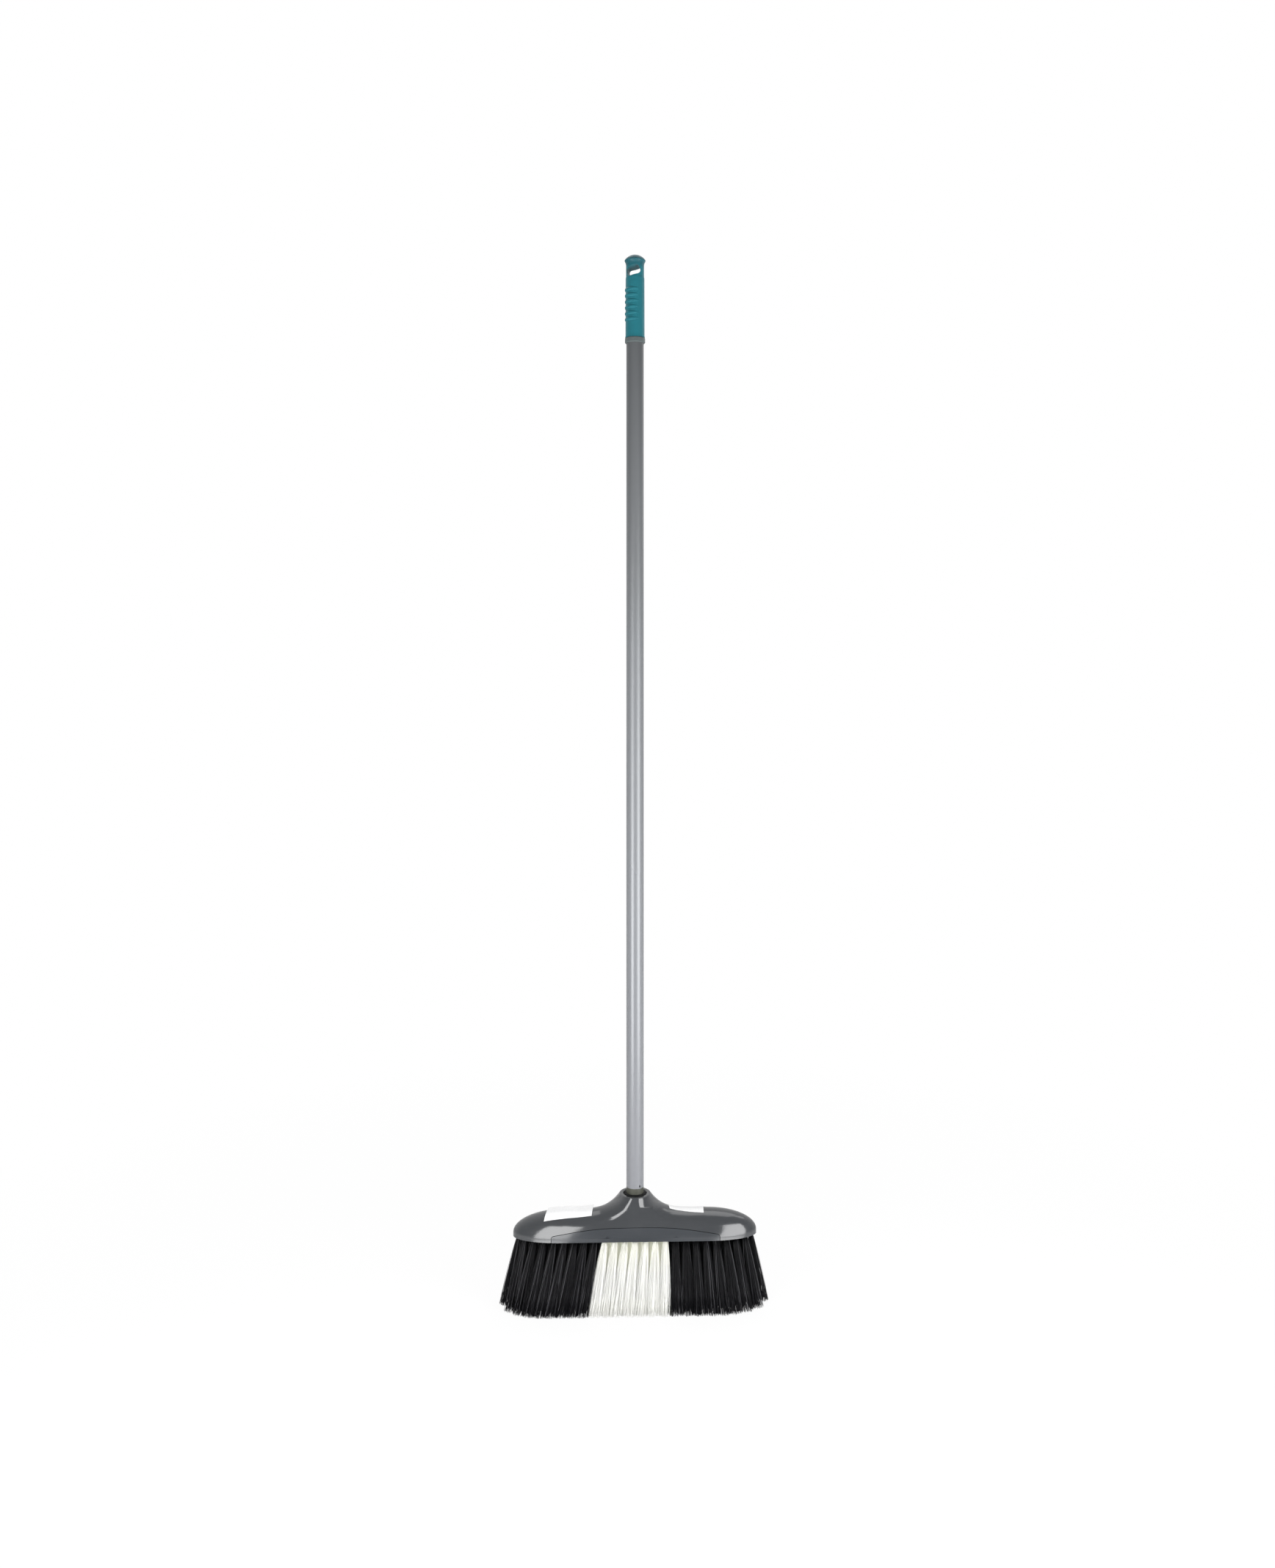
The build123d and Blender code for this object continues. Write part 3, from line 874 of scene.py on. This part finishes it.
def paper_label(name, cover, leaves, corners):
    """A thin closed sheet that follows the shoulder between four corners."""
    low_left, low_right, high_right, high_left = corners
    points, faces = [], []
    for lift in (LABEL_UNDERSIDE, LABEL_FACE):
        for i in range(LABEL_COLUMNS + 1):
            low = between(low_left, low_right, i / LABEL_COLUMNS)
            high = between(high_left, high_right, i / LABEL_COLUMNS)
            for j in range(LABEL_ROWS + 1):
                x, angle = between(low, high, j / LABEL_ROWS)
                points.append(label_point(cover, x, angle, lift, leaves))
    column = LABEL_ROWS + 1
    layer = (LABEL_COLUMNS + 1) * column
    for i in range(LABEL_COLUMNS):
        for j in range(LABEL_ROWS):
            a = i * column + j
            b = a + column
            faces.append((a, a + 1, b + 1, b))
            faces.append((a + layer, b + layer, b + 1 + layer, a + 1 + layer))
    edge = [i * column for i in range(LABEL_COLUMNS + 1)]
    edge += [LABEL_COLUMNS * column + j for j in range(1, LABEL_ROWS + 1)]
    edge += [i * column + LABEL_ROWS for i in range(LABEL_COLUMNS - 1, -1, -1)]
    edge += [j for j in range(LABEL_ROWS - 1, 0, -1)]
    for a, b in zip(edge, edge[1:] + edge[:1]):
        faces.append((a, b, b + layer, a + layer))
    mesh = bpy.data.meshes.new(name)
    mesh.from_pydata(points, [], faces)
    mesh.validate()
    mesh.update()
    mesh.materials.append(label_paper)
    label = bpy.data.objects.new(name, mesh)
    bpy.context.scene.collection.objects.link(label)
    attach(label, "head")


label_paper = blank_paper()
cover_surface = surface_tree("head_cover")
paper_label("label_left", cover_surface, LEFT_LABEL_LEAVES, LEFT_LABEL)
paper_label("label_right", cover_surface, RIGHT_LABEL_LEAVES, RIGHT_LABEL)


# Studio

FLOOR_HALF = 12
FLOOR_HEIGHT = -0.0003
FLOOR_GREY = (0.86, 0.86, 0.86, 1)
SHADOW_REACH = (0.25, 1.1)
BACKDROP_SHARE_AT_BROOM = 0.92
ROOM_FROM_FRONT_TO_BACK = (-0.2, 0.7)
ROOM_STRENGTH = 0.40
BACKDROP_STRENGTH = 0.90
WHITE = (1, 1, 1, 1)


def studio_floor():
    """A pale floor that keeps the broom's shadow and runs out to a white backdrop."""
    mesh = bpy.data.meshes.new("studio_floor")
    signs = ((-1, -1), (1, -1), (1, 1), (-1, 1))
    mesh.from_pydata([(x * FLOOR_HALF, y * FLOOR_HALF, FLOOR_HEIGHT) for x, y in signs], [], [(0, 1, 2, 3)])
    floor = bpy.data.objects.new("studio_floor", mesh)
    bpy.context.scene.collection.objects.link(floor)
    material = bpy.data.materials.new("pale_floor")
    material.use_nodes = True
    material.node_tree.nodes.clear()
    s = Shading(material.node_tree)
    place = s.node("ShaderNodeTexCoord").outputs["Object"]
    distance = s.node("ShaderNodeVectorMath", {0: place}, operation="LENGTH").outputs["Value"]
    whitening = s.span(distance, *SHADOW_REACH, to_low=BACKDROP_SHARE_AT_BROOM)
    matt = s.node("ShaderNodeBsdfDiffuse", {"Color": FLOOR_GREY})
    backdrop = s.node("ShaderNodeEmission")
    s.seen_or_lit(s.product(s.camera_ray(), whitening), matt, backdrop, "ShaderNodeOutputMaterial")
    mesh.materials.append(material)


def studio_world():
    """Soft light from a bright backdrop behind and a dim room in front. The camera sees white."""
    world = bpy.data.worlds.new("studio")
    bpy.context.scene.world = world
    world.use_nodes = True
    world.node_tree.nodes.clear()
    s = Shading(world.node_tree)
    direction = s.node("ShaderNodeTexCoord").outputs["Generated"]
    backwards = s.node("ShaderNodeSeparateXYZ", {"Vector": direction}).outputs["Y"]
    strength = s.span(backwards, *ROOM_FROM_FRONT_TO_BACK, ROOM_STRENGTH, BACKDROP_STRENGTH, "SMOOTHSTEP")
    room = s.node("ShaderNodeBackground", {"Color": WHITE, "Strength": strength})
    backdrop = s.node("ShaderNodeBackground", {"Color": WHITE, "Strength": 1.0})
    s.seen_or_lit(s.camera_ray(), room, backdrop, "ShaderNodeOutputWorld")


def soft_light(name, place, aim, width, height, watts):
    """A rectangular studio light."""
    data = bpy.data.lights.new(name, "AREA")
    data.shape = "RECTANGLE"
    data.size = width
    data.size_y = height
    data.energy = watts
    light = bpy.data.objects.new(name, data)
    light.location = place
    light.rotation_euler = (Vector(aim) - Vector(place)).to_track_quat("-Z", "Y").to_euler()
    light.visible_camera = False
    bpy.context.scene.collection.objects.link(light)


studio_floor()
studio_world()
soft_light("overhead_light", (0.1, 0.95, 2.6), aim=(0, 0, 0.3), width=2.2, height=1.5, watts=15)
soft_light("left_softbox", (-0.588, -0.809, 0.45), aim=(0, 0, 0.45), width=0.57, height=0.90, watts=10.4)
soft_light("right_softbox", (0.72, -0.695, 0.45), aim=(0, 0, 0.45), width=0.65, height=0.90, watts=11.2)
soft_light("rim_light", (0.85, 0.50, 1.30), aim=(0, 0, 1.10), width=0.30, height=0.60, watts=0.9)


# Camera, level with the middle of the handle and a little to the left of the head's front

CAMERA_PLACE = (0.0031, -1.700, 0.800)
CAMERA_TURN = -2.0
CAMERA_LENS = 30.89
CAMERA_SENSOR = 36
CAMERA_SHIFT = -0.0738

camera_data = bpy.data.cameras.new("photo_camera")
camera_data.lens = CAMERA_LENS
camera_data.sensor_width = CAMERA_SENSOR
camera_data.shift_y = CAMERA_SHIFT
camera = bpy.data.objects.new("photo_camera", camera_data)
round_head = Matrix.Rotation(math.radians(CAMERA_TURN), 4, "Z")
upright = Matrix.Rotation(math.pi / 2, 4, "X")
camera.matrix_world = round_head @ Matrix.Translation(CAMERA_PLACE) @ upright
bpy.context.scene.collection.objects.link(camera)
bpy.context.scene.camera = camera
bpy.context.scene.view_settings.view_transform = "Standard"
